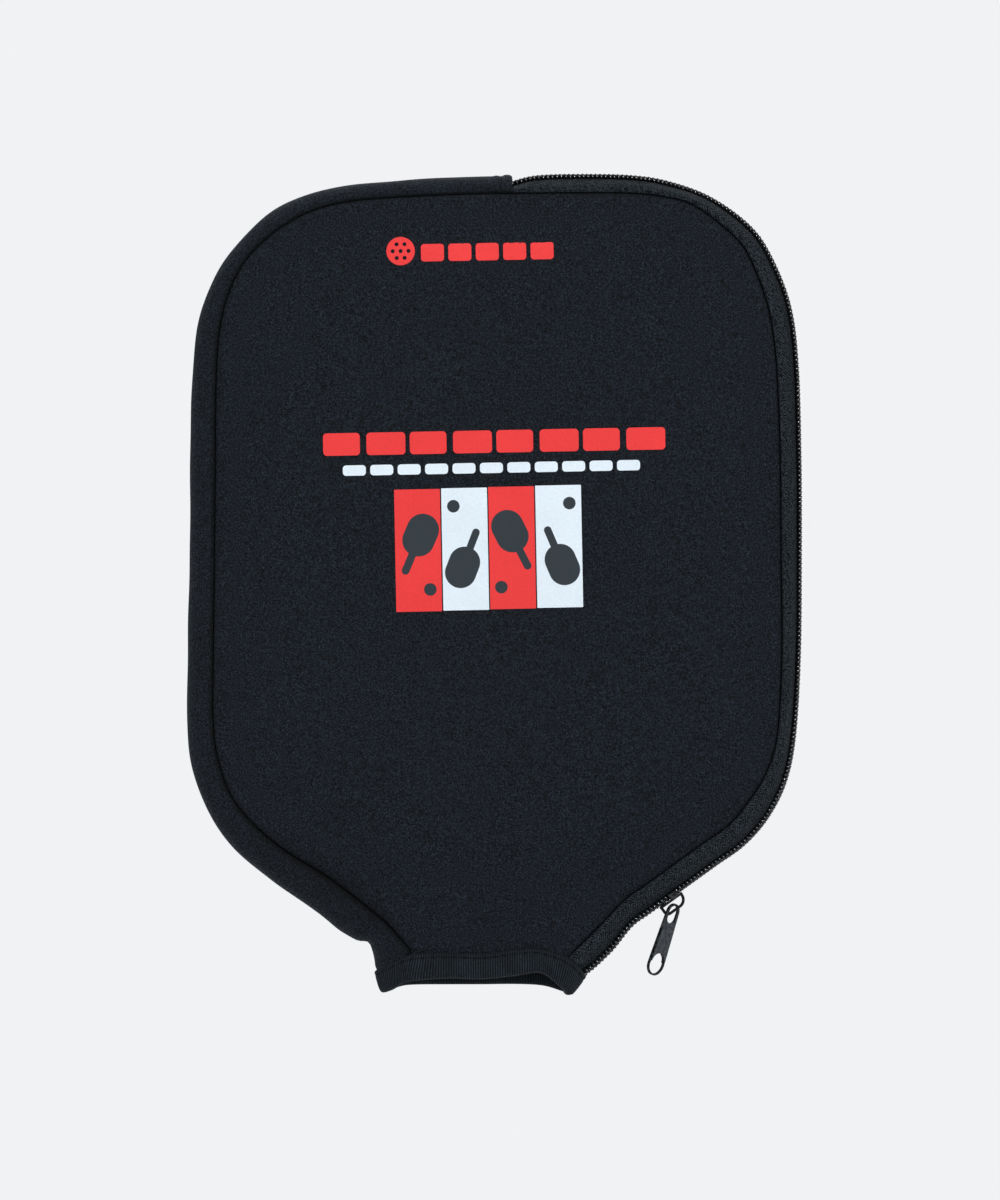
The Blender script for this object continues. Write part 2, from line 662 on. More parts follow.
coil_front = make_coil("front", FRONT, phase=0.0)
coil_back = make_coil("back", BACK, phase=0.5)
cord_front, cord_back = [make_cord(*side) for side in SIDES]

# ------------------------------------------------------------------ mouth binding
RIB_PITCH = 0.9
STITCH_PITCH = 3.7
STITCH_LINE = 0.165                 # where the stitches run, as a part of the band's height
mouth_rows, mouth_run = resample(mouth_curve, RIB_PITCH / 6, cols=(0, 1, 2), ring=True)
mouth_count = len(mouth_rows)
mouth_length = mouth_run[-1] + (mouth_run[1] - mouth_run[0])
rib_count = round(mouth_length / RIB_PITCH)
stitch_count = int(round(mouth_length / STITCH_PITCH))
mouth_edge = mouth_rows[:, :3]
mouth_down = mouth_rows[:, 3:6]
mouth_along = unit(np.roll(mouth_edge, -3, axis=0) - np.roll(mouth_edge, 3, axis=0))
mouth_outward = unit(np.cross(mouth_down, mouth_along))

# Outer half of the folded tape: distance from the band's middle, part of the height downward.
BINDING_HALF = [
    (1.30, -0.02), (1.72, -0.012), (1.98, 0.02), (2.12, 0.06), (2.14, 0.10), (2.06, 0.135),
    (1.93, 0.155), (1.92, 0.175), (2.04, 0.20), (2.12, 0.25), (2.16, 0.34), (2.18, 0.45),
    (2.18, 0.56), (2.15, 0.67), (2.08, 0.77), (1.95, 0.85), (1.72, 0.92), (1.35, 0.965),
    (0.8, 0.99), (0.25, 1.0)]


def make_binding():
    profile = np.array(BINDING_HALF + [(-out, down) for out, down in reversed(BINDING_HALF)])
    out, down = profile[:, 0], profile[:, 1]
    rib = (np.where((down > 0.19), 0.105, 0.045) * np.sign(out)
           * np.clip(np.abs(out) / 1.2, 0.3, 1))
    phase = 2 * math.pi * rib_count * (np.arange(mouth_count) / mouth_count)
    pucker = 0.5 + 0.5 * np.cos(2 * math.pi * mouth_run * stitch_count / mouth_length)
    wobble = 0.12 * np.sin(mouth_run / 5.3) + 0.08 * np.sin(mouth_run / 2.9 + 0.7)
    offset = (out + rib * np.cos(phase)[:, None]
              - np.sign(out) * 0.16 * pucker[:, None]
              * np.exp(-((down - STITCH_LINE) / 0.05) ** 2))
    sections = (mouth_edge[:, None, :]
                + (offset + wobble[:, None])[:, :, None] * mouth_outward[:, None, :]
                + down[None, :, None] * mouth_down[:, None, :])
    sections[:, :, 2] = np.maximum(sections[:, :, 2], 0.0)

    # shade: a dark spot at each stitch hole, a faint line between, a dark upper edge
    hole = np.abs(((mouth_run * stitch_count / mouth_length + 0.5) % 1.0) - 0.5)
    hole = np.exp(-(hole * mouth_length / stitch_count / 0.55) ** 2)
    shade = (1 - 0.80 * hole[:, None] * np.exp(-((down - STITCH_LINE) / 0.045) ** 2)
             - 0.25 * np.exp(-((down - STITCH_LINE) / 0.03) ** 2))
    shade = shade * (1 - 0.65 * np.exp(-(down / 0.035) ** 2))
    shade = np.clip(shade * np.where(out > 0.3, 1.0, 0.72), 0.05, 1)
    return sweep("mouth_binding_tape", sections, ring=True, along=mouth_run, ao=shade)


def binding_stitches():
    """Short thread runs on both faces that dive into the tape at their ends."""
    reach = 0.36                    # half a stitch, as a part of the stitch pitch
    for stitch in range(stitch_count):
        for face in (1, -1):
            path = []
            for f in np.linspace(-reach, reach, 7):
                position = ((stitch + 0.5 + f) / stitch_count) * mouth_count
                i = int(position) % mouth_count
                j = (i + 1) % mouth_count
                part = position - int(position)
                edge, outward, down = [rail[i] * (1 - part) + rail[j] * part
                                       for rail in (mouth_edge, mouth_outward, mouth_down)]
                height = 1.90 - 0.42 * (abs(f) / reach) ** 3
                path.append(edge + face * outward * height + down * STITCH_LINE)
            yield path


def hem_stitches():
    """Stitches over the arch of the hem, in its groove."""
    reach = 5.6                     # half a stitch, degrees
    width = HEM_TOP - HEM_SEAM
    for middle in np.arange(-78, 79, 17.3):
        path = []
        for f in np.linspace(-reach, reach, 7):
            angle = math.radians(middle + f)
            out, across = gusset_arch(angle, width, width - GUSSET_BASE, GUSSET_HALF)
            height = 0.16 - 0.34 * (abs(f) / reach) ** 3
            path.append((HEM_GROOVE, across + (height + 0.12) * math.sin(angle),
                         HEM_TOP + out + height * math.cos(angle)))
        yield path


def bar_tack(row):
    """A bundle of thread turns across the zip, seven side by side."""
    outer, _, _, outward = station_frames(row[None])
    outward = outward[0]
    along = np.array([outward[1], -outward[0]])
    for shift in np.linspace(-1.2, 1.2, 7):
        centre = outer[0] - 2.75 * outward + shift * along
        path = []
        for f in np.linspace(-1, 1, 9):
            x, z = centre + 0.35 * (1 - abs(f) ** 3) * outward
            path.append((x, f * 1.25, z))
        yield path


binding = make_binding()
binding_thread = threads("binding_thread", binding_stitches(), radius=0.21)
hem_thread = threads("hem_thread", hem_stitches(), radius=0.2)
start_thread = threads("zip_start_bar_tack", bar_tack(right_curve[SPLINE_STEPS]), radius=0.17)
end_thread = threads("zip_end_bar_tack", bar_tack(right_curve[-20]), radius=0.17)

# ------------------------------------------------------------------ front print
PRINT_TURN = 1.1                    # degrees the whole print is turned
PRINT_PIVOT = (0.0, 165.0)


def rotate(points, degrees):
    angle = math.radians(degrees)
    x, z = points[:, 0], points[:, 1]
    return np.stack([x * math.cos(angle) - z * math.sin(angle),
                     x * math.sin(angle) + z * math.cos(angle)], axis=1)


def arc(x, z, radius, start, end, count):
    """Points on an arc, both ends included; angles in degrees."""
    angle = np.radians(np.linspace(start, end, count))
    return np.stack([x + radius * np.cos(angle), z + radius * np.sin(angle)], axis=1)


def rounded(left, right, bottom, top, radius, count=7):
    corners = ((right - radius, bottom + radius, -90), (right - radius, top - radius, 0),
               (left + radius, top - radius, 90), (left + radius, bottom + radius, 180))
    return np.vstack([arc(x, z, radius, start, start + 90, count) for x, z, start in corners])


def circle(x, z, radius, count):
    angle = ring_angles(count)
    return np.stack([x + radius * np.cos(angle), z + radius * np.sin(angle)], axis=1)


def paddle(x, z, degrees, radius):
    """A long round-ended blade on a straight handle."""
    half_handle = 0.24 * radius
    neck = math.degrees(math.asin(0.24))
    outline = np.vstack([arc(0, -2.05 * radius, half_handle, 180, 360, 9),
                         arc(0, 0, radius, -90 + neck, 0, 12),
                         arc(0, 0.7 * radius, radius, 0, 180, 24),
                         arc(0, 0, radius, 180, 270 - neck, 12)])
    return rotate(outline, degrees) + (x, z)


def bars(count, left, pitch, widths, bottom, top, radius):
    """A row of rounded bars; their widths take turns."""
    return [[rounded(left + pitch * k, left + pitch * k + widths[k % len(widths)],
                     bottom, top, radius)] for k in range(count)]


def flat_mesh(loops):
    """A triangulated flat shape in x, z; the first loop is the outline, the rest are holes."""
    bm = bmesh.new()
    triangles = tessellate_polygon([[Vector((x, z, 0)) for x, z in loop] for loop in loops])
    verts = [bm.verts.new((x, 0, z)) for loop in loops for x, z in loop]
    for triangle in triangles:
        # guards against a triangle that repeats a corner or another face
        try:
            bm.faces.new([verts[i] for i in triangle])
        except ValueError:
            pass
    for _ in range(5):
        long_edges = [e for e in bm.edges if e.calc_length() > 3.4]
        if not long_edges:
            break
        bmesh.ops.subdivide_edges(bm, edges=long_edges, cuts=1)
        bmesh.ops.triangulate(bm, faces=bm.faces[:])
    bmesh.ops.beautify_fill(bm, faces=bm.faces[:], edges=bm.edges[:])
    bm.verts.ensure_lookup_table()
    bm.verts.index_update()
    return bm


def film(name, shapes, lift=0.05):
    """Thin ink film that follows the front panel; each shape is a list of loops."""
    sunk = 0.25                     # how far the film's underside lies in the cloth
    verts, faces = [], []
    for loops in shapes:
        bm = flat_mesh([rotate(loop - PRINT_PIVOT, PRINT_TURN) + PRINT_PIVOT for loop in loops])
        plan = np.array([(v.co.x, v.co.z) for v in bm.verts])
        height = panel_height(crown_front, plan[:, 0], plan[:, 1], edge_distance(plan))
        top = len(verts)
        under = top + len(plan)
        verts += [(x, -(h + lift), z) for (x, z), h in zip(plan, height)]
        verts += [(x, -(h - sunk), z) for (x, z), h in zip(plan, height)]
        for face in bm.faces:
            corners = [v.index for v in face.verts]
            faces.append([top + i for i in corners])
            faces.append([under + i for i in reversed(corners)])
        for edge in bm.edges:
            if len(edge.link_faces) == 1:
                i, j = edge.verts[0].index, edge.verts[1].index
                faces.append([top + i, top + j, under + j, under + i])
        bm.free()
    verts = np.array(verts)
    return make_solid(name, verts, faces, uv=verts[:, [0, 2]], smooth=False)


# A ball with one middle hole and six round it, then a row of five bars.
BALL_X, BALL_Z = -32, 272.4
ball = [circle(BALL_X, BALL_Z, 5.2, 56), circle(BALL_X, BALL_Z, 0.75, 14)]
for k in range(6):
    a = math.radians(60 * k)
    ball.append(circle(BALL_X + 2.9 * math.cos(a), BALL_Z + 2.9 * math.sin(a), 0.75, 14))
mark = [ball] + bars(5, left=-24.6, pitch=10, widths=(8.4,), bottom=268.4, top=274.8, radius=1.2)
title = bars(8, left=-61.6, pitch=15.8, widths=(13.4, 14.2), bottom=198.2, top=206.4, radius=1.4)
subtitle = bars(11, left=-54.6, pitch=10, widths=(8.4,), bottom=190.8, top=194.6, radius=1.2)

# Four blocks side by side, each with a paddle and a ball.
BLOCK_X, BLOCK_Z = -36.05, 140.8    # lower left corner of the first
BLOCK_PITCH, BLOCK_RISE = 17.15, 0.17
BLOCK_WIDTH, BLOCK_HEIGHT = 16.7, 44.6
# Paddle x, z from the block's bottom middle, angle in degrees, radius; ball x, z.
FIGURES = [(0.2, 26, -24, 5.9, 4.2, 8), (-0.3, 17.5, 158, 5.7, -4, 38),
           (0.2, 26.5, 26, 5.9, -4.2, 8), (0.3, 17.5, 202, 5.7, 4, 38)]
blocks, figures = [], []
for k, (px, pz, angle, radius, bx, bz) in enumerate(FIGURES):
    x, z = BLOCK_X + BLOCK_PITCH * k, BLOCK_Z + BLOCK_RISE * k
    blocks.append([rounded(x, x + BLOCK_WIDTH, z, z + BLOCK_HEIGHT, 0.25, 3)])
    middle = x + BLOCK_WIDTH / 2
    figures.append([paddle(middle + px, z + pz, angle, radius)])
    figures.append([circle(middle + bx, z + bz, 2.3, 28)])

print_mark = film("print_mark", mark)
print_title = film("print_title", title)
print_subtitle = film("print_subtitle", subtitle)
print_red = film("print_red_panels", blocks[0::2])
print_white = film("print_white_panels", blocks[1::2])
print_figures = film("print_figures", figures, lift=0.08)

# ------------------------------------------------------------------ inner seam tapes
# Closed section: distance inward of the seam line, distance from the mid plane.
SEAM_TAPE = np.array([
    [0.8, 6.75], [0.9, 6.45], [1.6, 6.22], [3.0, 6.18], [4.4, 6.22], [5.1, 6.45],
    [5.2, 6.7], [5.1, 6.95], [4.4, 7.05], [3.0, 7.05], [1.6, 7.05], [0.9, 6.98]])


def seam_tape(name, curve, side):
    rows, _ = resample(curve, 1.7, cols=(2, 3))
    _, seam, _, outward = station_frames(rows)
    sections = [place(seam[i], outward[i], -SEAM_TAPE[:, 0],
                      side * (SEAM_TAPE[:, 1] + 0.05 * math.sin(i * 1.1)))
                for i in range(len(rows))]
    return sweep(name, np.array(sections))


seam_front_left = seam_tape("seam_binding_front_left", left_curve[10:-60], FRONT)
seam_front_right = seam_tape("seam_binding_front_right", right_curve[40:-150], FRONT)
seam_back_left = seam_tape("seam_binding_back_left", left_curve[10:-60], BACK)
seam_back_right = seam_tape("seam_binding_back_right", right_curve[10:-70], BACK)

# ------------------------------------------------------------------ materials
SHEEN_TINT = (0.62, 0.74, 0.86, 1)
TIGHT = (0.36, 0.64)                # noise span that gives strong grain


class Nodes:
    """A new material with a Principled surface, and short ways to add nodes."""

    def __init__(self, name):
        self.material = bpy.data.materials.new(name)
        self.material.use_nodes = True
        self.tree = self.material.node_tree
        self.tree.nodes.clear()
        self.output = self.add("OutputMaterial")
        self.surface = self.add("BsdfPrincipled")
        self.link(self.surface.outputs[0], self.output.inputs[0])

    def add(self, kind, **settings):
        node = self.tree.nodes.new("ShaderNode" + kind)
        for key, value in settings.items():
            setattr(node, key, value)
        return node

    def link(self, source, target):
        self.tree.links.new(source, target)

    def put(self, socket, value):
        """Links a socket's value in, or sets a plain one."""
        if isinstance(value, bpy.types.NodeSocket):
            self.link(value, socket)
        else:
            socket.default_value = value

    def finish(self, values):
        """Sets the surface's inputs by name and returns the material."""
        for key, value in values.items():
            self.put(self.surface.inputs[key], value)
        return self.material

    def math(self, operation, *values, clamp=False):
        node = self.add("Math", operation=operation, use_clamp=clamp)
        for i, value in enumerate(values):
            self.put(node.inputs[i], value)
        return node.outputs[0]

    def plus(self, first, second):
        return self.math("ADD", first, second)

    def times(self, first, second):
        return self.math("MULTIPLY", first, second)

    def wave(self, angle, operation="SINE"):
        """Sine or cosine moved to run from 0 to 1."""
        return self.math("MULTIPLY_ADD", self.math(operation, angle), 0.5, 0.5)

    def uv(self):
        """Distance along and across the piece, millimetres."""
        node = self.add("UVMap", uv_map="UVMap")
        split = self.add("SeparateXYZ")
        self.link(node.outputs[0], split.inputs[0])
        return split.outputs[0], split.outputs[1]

    def place(self):
        return self.add("TexCoord").outputs["Object"]

    def ao(self):
        return self.add("Attribute", attribute_name="ao").outputs["Fac"]

    def noise(self, vector, scale, detail=2.0, rough=0.5):
        node = self.add("TexNoise")
        self.put(node.inputs["Vector"], vector)
        node.inputs["Scale"].default_value = scale
        node.inputs["Detail"].default_value = detail
        node.inputs["Roughness"].default_value = rough
        return node.outputs["Fac"]

    def remap(self, value, out, span=(0.3, 0.7)):
        """Maps the span of values onto the out range."""
        node = self.add("MapRange")
        self.put(node.inputs[0], value)
        for i, limit in enumerate((*span, *out)):
            node.inputs[i + 1].default_value = limit
        return node.outputs[0]

    def tint(self, color, factor):
        """The colour times a factor."""
        node = self.add("VectorMath", operation="SCALE")
        node.inputs[0].default_value = color
        self.put(node.inputs["Scale"], factor)
        return node.outputs[0]

    def bump(self, height, distance, strength):
        """Links a bump, its distance in metres, to the surface."""
        node = self.add("Bump")
        node.inputs["Strength"].default_value = strength
        node.inputs["Distance"].default_value = distance
        self.put(node.inputs["Height"], height)
        self.link(node.outputs[0], self.surface.inputs["Normal"])


def knit(name, color, wale, course):
    """Fine jersey face over foam: rows of small V stitches with uneven yarn."""
    mat = Nodes(name)
    along, across = mat.uv()
    cell = mat.math("FRACT", mat.math("DIVIDE", along, wale))
    vee = mat.math("ABSOLUTE", mat.math("SUBTRACT", cell, 0.5))
    phase = mat.plus(mat.math("DIVIDE", across, course), mat.times(vee, 1.1))
    loop = mat.wave(mat.times(phase, math.tau))
    rib = mat.math("SUBTRACT", 1.0, mat.math("POWER", mat.times(vee, 2.0), 3.0))
    stitch = mat.times(loop, rib)
    place = mat.place()
    grain = mat.noise(place, scale=1500, detail=3.0, rough=0.65)
    fuzz = mat.noise(place, scale=2300, rough=0.6)
    broad = mat.noise(place, scale=28, detail=3.0, rough=0.55)
    height = mat.plus(mat.times(stitch, 0.6), mat.times(grain, 0.9))
    mat.bump(mat.plus(height, mat.times(fuzz, 0.4)), distance=0.000144, strength=0.75)
    tone = mat.remap(grain, span=TIGHT, out=(0.2, 1.8))
    tone = mat.times(tone, mat.remap(fuzz, span=TIGHT, out=(0.2, 1.8)))
    tone = mat.times(tone, mat.remap(stitch, span=(0.0, 1.0), out=(0.72, 1.26)))
    tone = mat.times(tone, mat.remap(broad, out=(0.97, 1.03)))
    tone = mat.times(tone, mat.ao())
    return mat.finish({
        "Sheen Weight": mat.times(tone, 0.08), "Base Color": mat.tint(color, tone),
        "Roughness": 0.86, "Specular IOR Level": 0.15,
        "Sheen Roughness": 0.5, "Sheen Tint": SHEEN_TINT})


def twill(name, color, band):
    """Herringbone woven tape: the twill line reverses every band across the tape."""
    line_pitch, line_slope, yarn_pitch = 1.15, 1.0, 0.36
    mat = Nodes(name)
    along, across = mat.uv()
    zigzag = mat.math("PINGPONG", across, band)
    phase = mat.math("DIVIDE", mat.plus(along, mat.times(zigzag, line_slope)), line_pitch)
    line = mat.wave(mat.times(phase, math.tau))
    yarn = mat.wave(mat.times(across, math.tau / yarn_pitch))
    grain = mat.noise(mat.place(), scale=1700, rough=0.6)
    height = mat.plus(mat.times(line, 0.8), mat.times(yarn, 0.35))
    mat.bump(mat.plus(height, mat.times(grain, 0.5)), distance=0.00013, strength=0.8)
    tone = mat.times(mat.remap(line, span=(0, 1), out=(0.62, 1.5)),
                     mat.remap(grain, span=TIGHT, out=(0.2, 1.9)))
    tone = mat.times(tone, mat.ao())
    return mat.finish({
        "Base Color": mat.tint(color, tone), "Roughness": 0.8,
        "Specular IOR Level": mat.times(tone, 0.15), "Sheen Weight": mat.times(tone, 0.06),
        "Sheen Roughness": 0.45, "Sheen Tint": SHEEN_TINT})


def grosgrain(name, color):
    """Ribbed tape: the ribs are in the mesh; this adds the fine cross yarns and fuzz."""
    yarn_pitch = 0.34
    mat = Nodes(name)
    along, across = mat.uv()
    yarn = mat.wave(mat.times(across, math.tau / yarn_pitch))
    rib = mat.wave(mat.times(along, math.tau / (mouth_length / rib_count)), "COSINE")
    place = mat.place()
    fuzz = mat.noise(place, scale=1500, rough=0.6)
    broad = mat.noise(place, scale=160, detail=3.0, rough=0.6)
    mat.bump(mat.plus(mat.times(yarn, 0.5), mat.times(fuzz, 0.6)),
             distance=0.00009, strength=0.8)
    tone = mat.times(mat.remap(rib, span=(0, 1), out=(0.03, 1.92)),
                     mat.remap(fuzz, span=TIGHT, out=(0.6, 1.4)))
    tone = mat.times(tone, mat.remap(broad, out=(0.75, 1.25)))
    tone = mat.times(tone, mat.ao())
    return mat.finish({
        "Base Color": mat.tint(color, tone), "Roughness": 0.8,
        "Specular IOR Level": 0.16, "Sheen Weight": mat.times(mat.ao(), 0.06)})


def ink(name, color):
    """Screen print on knit: the cloth's grain shows through the film, with tiny pinholes."""
    mat = Nodes(name)
    place = mat.place()
    grain = mat.noise(place, scale=1100, rough=0.6)
    fine = mat.noise(place, scale=2600, rough=0.6)
    broad = mat.noise(place, scale=60)
    mat.bump(mat.plus(grain, mat.times(fine, 0.5)), distance=0.00006, strength=0.6)
    tone = mat.times(mat.remap(grain, out=(0.95, 1.03)), mat.remap(broad, out=(0.97, 1.02)))
    pinholes = mat.remap(fine, span=(0.70, 0.78), out=(1.0, 0.72))
    return mat.finish({
        "Base Color": mat.tint(color, mat.times(tone, pinholes)),
        "Roughness": 0.5, "Specular IOR Level": 0.25})


def nylon(name, color, rough):
    """Glossy monofilament; the leaning part of the coil, with its lower ao, is paler."""
    mat = Nodes(name)
    place = mat.place()
    cloud = mat.noise(place, scale=700)
    tone = mat.times(mat.remap(cloud, out=(0.8, 1.25)),
                     mat.remap(mat.ao(), span=(0.65, 1.0), out=(4.2, 1.0)))
    mat.bump(mat.noise(place, scale=2400), distance=0.00001, strength=0.4)
    return mat.finish({
        "Base Color": mat.tint(color, tone),
        "Roughness": mat.remap(cloud, out=(rough * 0.8, rough * 1.3)),
        "Specular IOR Level": mat.times(mat.ao(), 0.5)})


# The pull tab's flat: a point on its middle plane, the plane's normal, and down along it.
PULL_POINT = (0.06553, 0.0, 0.03036)
PULL_NORMAL = (-0.6841, 0.6947, 0.2223)
PULL_DOWN = (-0.309, 0.0, -0.9511)


def pull_tone(mat, place):
    """Darkens what lies close to the pull tab's middle plane, and its upper end."""
    offset = mat.add("VectorMath", operation="SUBTRACT")
    mat.link(place, offset.inputs[0])
    offset.inputs[1].default_value = PULL_POINT

    def offset_along(direction):
        node = mat.add("VectorMath", operation="DOT_PRODUCT")
        mat.link(offset.outputs[0], node.inputs[0])
        node.inputs[1].default_value = direction
        return node.outputs["Value"]

    height = mat.math("ABSOLUTE", offset_along(PULL_NORMAL))
    down = offset_along(PULL_DOWN)
    lower = mat.remap(down, span=(0.00615, 0.0063), out=(0.0, 1.0))
    upper_tone = mat.times(mat.remap(height, span=(0.00028, 0.00038), out=(0.22, 1.0)),
                           mat.remap(down, span=(0.0022, 0.0048), out=(0.35, 1.0)))
    lower_tone = mat.remap(height, span=(0.00050, 0.00072), out=(0.22, 1.0))
    return mat.plus(mat.times(upper_tone, mat.math("SUBTRACT", 1.0, lower)),
                    mat.times(lower_tone, lower))


def enamel(name, color, rough, toned=False):
    """Black paint over zinc: faint orange peel, hairline scratches, thin paint on edges."""
    mat = Nodes(name)
    place = mat.place()
    tone = pull_tone(mat, place) if toned else 1.0
    peel = mat.noise(place, scale=520)
    stretch = mat.add("Mapping")
    mat.link(place, stretch.inputs["Vector"])
    stretch.inputs["Scale"].default_value = (1, 1, 14)
    stretch.inputs["Rotation"].default_value = (0, 0.55, 0)
    scratch = mat.noise(stretch.outputs[0], scale=420, detail=3.0, rough=0.6)
    pointy = mat.add("NewGeometry").outputs["Pointiness"]
    edge = mat.remap(pointy, span=(0.52, 0.60), out=(0.0, 1.0))
    patchy = mat.remap(mat.noise(place, scale=900, detail=3.0, rough=0.6),
                       span=(0.45, 0.6), out=(0.0, 0.25))
    edge = mat.math("MULTIPLY", edge, patchy, clamp=True)
    wear = mat.add("Mix", data_type="RGBA")
    mat.link(edge, wear.inputs[0])
    mat.link(mat.tint(color, mat.times(mat.remap(peel, out=(0.96, 1.04)), tone)), wear.inputs[6])
    wear.inputs[7].default_value = (0.16, 0.17, 0.18, 1)
    roughness = mat.plus(mat.remap(peel, out=(rough - 0.05, rough + 0.06)),
                         mat.remap(scratch, span=(0.62, 0.75), out=(0.0, 0.14)))
    mat.bump(mat.plus(mat.times(peel, 0.8), mat.times(scratch, 0.2)),
             distance=0.000012, strength=0.4)
    return mat.finish({
        "Base Color": wear.outputs[2], "Roughness": roughness, "Metallic": 0.0,
        "Specular IOR Level": mat.times(tone, 0.34) if toned else 0.25,
        "Coat Weight": 0.05, "Coat Roughness": 0.22})


def yarn(name, color):
    """Twisted thread."""
    twist_pitch, twist_turn = 0.5, 4.0
    mat = Nodes(name)
    along, across = mat.uv()
    twist = mat.wave(mat.plus(mat.times(along, math.tau / twist_pitch),
                              mat.times(across, twist_turn)))
    grain = mat.noise(mat.place(), scale=1600, rough=0.6)
    mat.bump(mat.plus(twist, mat.times(grain, 0.5)), distance=0.00006, strength=0.7)
    tone = mat.times(mat.remap(twist, span=(0, 1), out=(0.7, 1.2)),
                     mat.remap(grain, out=(0.85, 1.15)))
    return mat.finish({
        "Base Color": mat.tint(color, tone), "Roughness": 0.75,
        "Specular IOR Level": 0.15, "Sheen Weight": 0.03})


panel_knit = knit("knit_panel", (0.00756, 0.01034, 0.01505), wale=0.62, course=0.5)
gusset_knit = knit("knit_gusset", (0.0072, 0.0099, 0.0143), wale=0.55, course=0.46)
tape_twill = twill("zip_tape_twill", (0.0096, 0.0132, 0.0168), band=2.6)
seam_twill = twill("seam_tape_twill", (0.008, 0.010, 0.012), band=2.0)
binding_cloth = grosgrain("binding_grosgrain", (0.0070, 0.0108, 0.0150))
coil_nylon = nylon("coil_nylon", (0.0046, 0.0054, 0.0064), rough=0.25)
cord_yarn = yarn("cord_yarn", (0.0030, 0.0034, 0.0038))
thread_yarn = yarn("thread_yarn", (0.0034, 0.0048, 0.0068))
red_ink = ink("ink_red", (0.88, 0.046, 0.046))
white_ink = ink("ink_white", (0.80, 0.895, 0.965))
grey_ink = ink("ink_grey", (0.030, 0.040, 0.048))
slider_enamel = enamel("slider_enamel", (0.0036, 0.0042, 0.0050), rough=0.34)
pull_enamel = enamel("pull_enamel", (0.0165, 0.0220, 0.0275), rough=0.5, toned=True)

for slot, material, objects in (
        ("panel_cloth", panel_knit, (front_sheet, back_sheet)),
        ("gusset_cloth", gusset_knit, (gusset, hem)),
        ("zip_tape", tape_twill, (tape_front, tape_back)),
        ("zip_coil", coil_nylon, (coil_front, coil_back)),
        ("zip_cord", cord_yarn, (cord_front, cord_back)),
        ("binding_tape", binding_cloth, (binding,)),
        ("thread", thread_yarn, (binding_thread, hem_thread, start_thread, end_thread)),
        ("print_red", red_ink, (print_mark, print_title)),
        ("print_white", white_ink, (print_subtitle,)),
        ("print_red", red_ink, (print_red,)),
        ("print_white", white_ink, (print_white,)),
        ("print_grey", grey_ink, (print_figures,)),
        ("seam_tape", seam_twill,
         (seam_front_left, seam_front_right, seam_back_left, seam_back_right))):
    for obj in objects:
        obj.data.materials.clear()
        obj.data.materials.append(material)

# the metal parts keep their loaded shape, with softened edges
for name, material, bevel_width in (("slider_body", slider_enamel, 0.00014),
                                    ("pull_tab", pull_enamel, 0.00018)):
    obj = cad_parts[name]
    obj.data.materials.clear()
    obj.data.materials.append(material)
    bevel = obj.modifiers.new("edge", "BEVEL")
    bevel.width = bevel_width
    bevel.segments = 2
    bevel.limit_method = "ANGLE"
    bevel.angle_limit = math.radians(40)

# ------------------------------------------------------------------ what rides on what
for obj, *pieces in (
        (front_sheet, "front_panel_fixed", "front_panel_flap"),
        (back_sheet, "back_panel"),
        (gusset, "side_gusset"),
        (hem, "gusset_end_hem"),
        (hem_thread, "hem_stitches"),
        (tape_front, "zip_tape_front"),
        (tape_back, "zip_tape_back"),
        (coil_front, "zip_coil_front"),
        (coil_back, "zip_coil_back"),
        (cord_front, "zip_cord_front"),
        (cord_back, "zip_cord_back"),
        (start_thread, "zip_start_tack"),
        (end_thread, "zip_end_tack"),
        (binding, "mouth_binding"),
        (binding_thread, "binding_stitches"),
        (seam_front_left, "seam_tape_front_left"),
        (seam_front_right, "seam_tape_front_right"),
        (seam_back_left, "seam_tape_back"),
        (seam_back_right, "seam_tape_back"),
        (print_mark, "print_mark_left", "print_mark_right"),
        (print_title, "print_title_left", "print_title_right"),
        (print_subtitle, "print_subtitle_left", "print_subtitle_right"),
        (print_red, "print_red"),
        (print_white, "print_white_left", "print_white_right"),
        (print_figures, "print_figures_left", "print_figures_right")):
    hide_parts(*pieces)

for obj in (back_sheet, gusset, hem, hem_thread, tape_back, coil_back, cord_back, start_thread,
            end_thread, binding, binding_thread, seam_front_left, seam_back_left,
            seam_back_right, print_red):
    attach(obj, "shell")

# Pieces that cross the flap's fold bend over the first 15 mm to the right of the hinge line.
for obj in (front_sheet, tape_front, coil_front, cord_front, seam_front_right, print_mark,
            print_title, print_subtitle, print_white, print_figures):
    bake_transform(obj)

# ------------------------------------------------------------------ stage, light, camera
BACKDROP = (0.8796, 0.8880, 0.9047)
FLOOR_HALF, FLOOR_Z = 9000, -60


def paper(name, color):
    """Evenly lit where the camera sees it, plain diffuse for the light it throws back."""
    mat = Nodes(name)
    tone = mat.remap(mat.noise(mat.place(), scale=3.0), out=(0.997, 1.003))
    mat.finish({"Base Color": mat.tint(color, tone), "Roughness": 0.95,
                "Specular IOR Level": 0.05})
    glow = mat.add("Emission")
    glow.inputs[0].default_value = (*BACKDROP, 1)
    path = mat.add("LightPath")
    mix = mat.add("MixShader")
    mat.link(path.outputs["Is Camera Ray"], mix.inputs[0])
    mat.link(mat.surface.outputs[0], mix.inputs[1])
    mat.link(glow.outputs[0], mix.inputs[2])
    mat.link(mix.outputs[0], mat.output.inputs[0])
    return mat.material


floor = make("floor", [(x * FLOOR_HALF, y * FLOOR_HALF, FLOOR_Z)
                       for x, y in ((-1, -1), (1, -1), (1, 1), (-1, 1))],
             [(0, 1, 2, 3)], smooth=False)
floor.data.materials.append(paper("floor_paper", (0.80, 0.808, 0.823)))


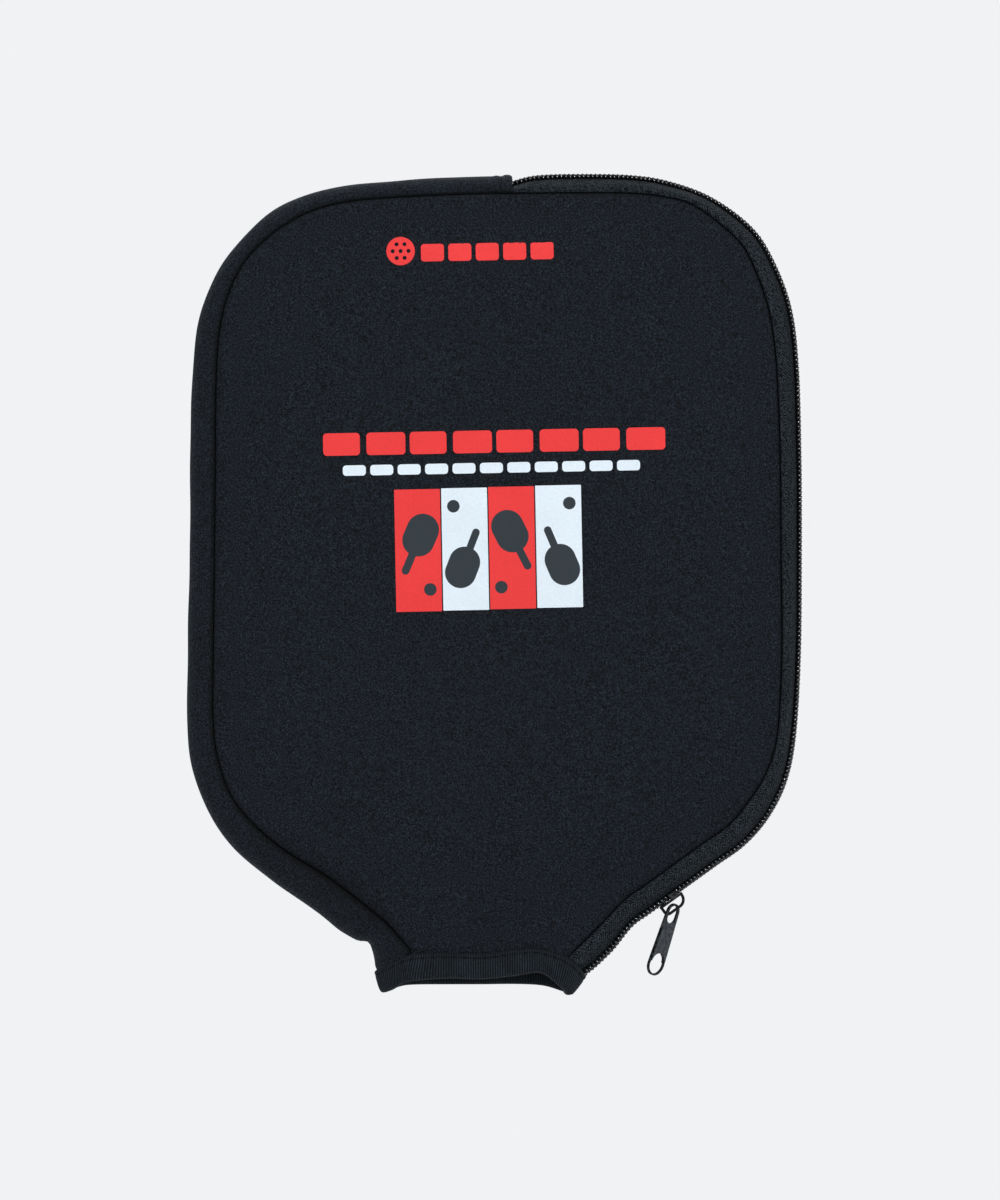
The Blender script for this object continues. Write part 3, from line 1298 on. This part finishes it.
def make_world():
    """Cool dim light on the scene, the backdrop colour to the camera."""
    world = bpy.data.worlds.new("studio")
    bpy.context.scene.world = world
    world.use_nodes = True
    nodes, links = world.node_tree.nodes, world.node_tree.links
    nodes.clear()
    output = nodes.new("ShaderNodeOutputWorld")
    path = nodes.new("ShaderNodeLightPath")
    light = nodes.new("ShaderNodeBackground")
    seen = nodes.new("ShaderNodeBackground")
    mix = nodes.new("ShaderNodeMixShader")
    for node, color, strength in ((light, (0.92, 0.96, 1.0), 0.38), (seen, BACKDROP, 1.0)):
        node.inputs[0].default_value = (*color, 1)
        node.inputs[1].default_value = strength
    links.new(path.outputs["Is Camera Ray"], mix.inputs[0])
    links.new(light.outputs[0], mix.inputs[1])
    links.new(seen.outputs[0], mix.inputs[2])
    links.new(mix.outputs[0], output.inputs[0])


LIGHT_TARGET = Vector((0, 0, 0.15))


def area_light(name, location, size, power):
    light = bpy.data.lights.new(name, "AREA")
    light.shape = "RECTANGLE"
    light.size, light.size_y = size
    light.energy = power
    obj = bpy.data.objects.new(name, light)
    bpy.context.scene.collection.objects.link(obj)
    obj.location = location
    aim = LIGHT_TARGET - Vector(location)
    obj.rotation_euler = aim.to_track_quat("-Z", "Y").to_euler()
    return obj


make_world()
area_light("key_soft", (0.9, -1.5, 1.3), size=(0.8, 0.8), power=16)
area_light("glint_left", (-1.3, -1.2, 0.8), size=(0.14, 0.14), power=5)
area_light("glint_right", (1.5, -1.1, 0.75), size=(0.16, 0.3), power=3)
# small bright catch lights that reach only the glossy coils
catch = bpy.data.collections.new("zip_catch_light")
catch.objects.link(coil_front)
catch.objects.link(coil_back)
for name, location, power in (("zip_glint_left", (-1.1, -1.7, -0.35), 300),
                              ("zip_glint_right", (0.7, -2.0, 0.45), 110)):
    glint = area_light(name, location, size=(0.12, 0.12), power=power)
    glint.visible_diffuse = False
    glint.light_linking.receiver_collection = catch
area_light("fill_left", (-1.5, -1.4, 0.8), size=(0.9, 1.3), power=3)
area_light("top_soft", (0.1, 0.0, 1.7), size=(1.4, 0.9), power=6)
area_light("back_fill", (0.3, 1.8, 1.0), size=(1.4, 1.2), power=11)

LENS, SENSOR = 200, 36
VIEW_WIDTH = 0.4397                 # metres seen across at the mid plane
camera_data = bpy.data.cameras.new("camera")
camera_data.lens = LENS
camera_data.sensor_width = SENSOR
camera = bpy.data.objects.new("camera", camera_data)
scene = bpy.context.scene
scene.collection.objects.link(camera)
camera.location = (0.0022, -VIEW_WIDTH * LENS / SENSOR, 0.1445)
camera.rotation_euler = (math.radians(90), 0, 0)
camera_data.clip_start, camera_data.clip_end = 0.05, 40
scene.camera = camera
scene.view_settings.view_transform = "Standard"
scene.view_settings.look = "None"
scene.view_settings.exposure = 0
scene.view_settings.gamma = 1
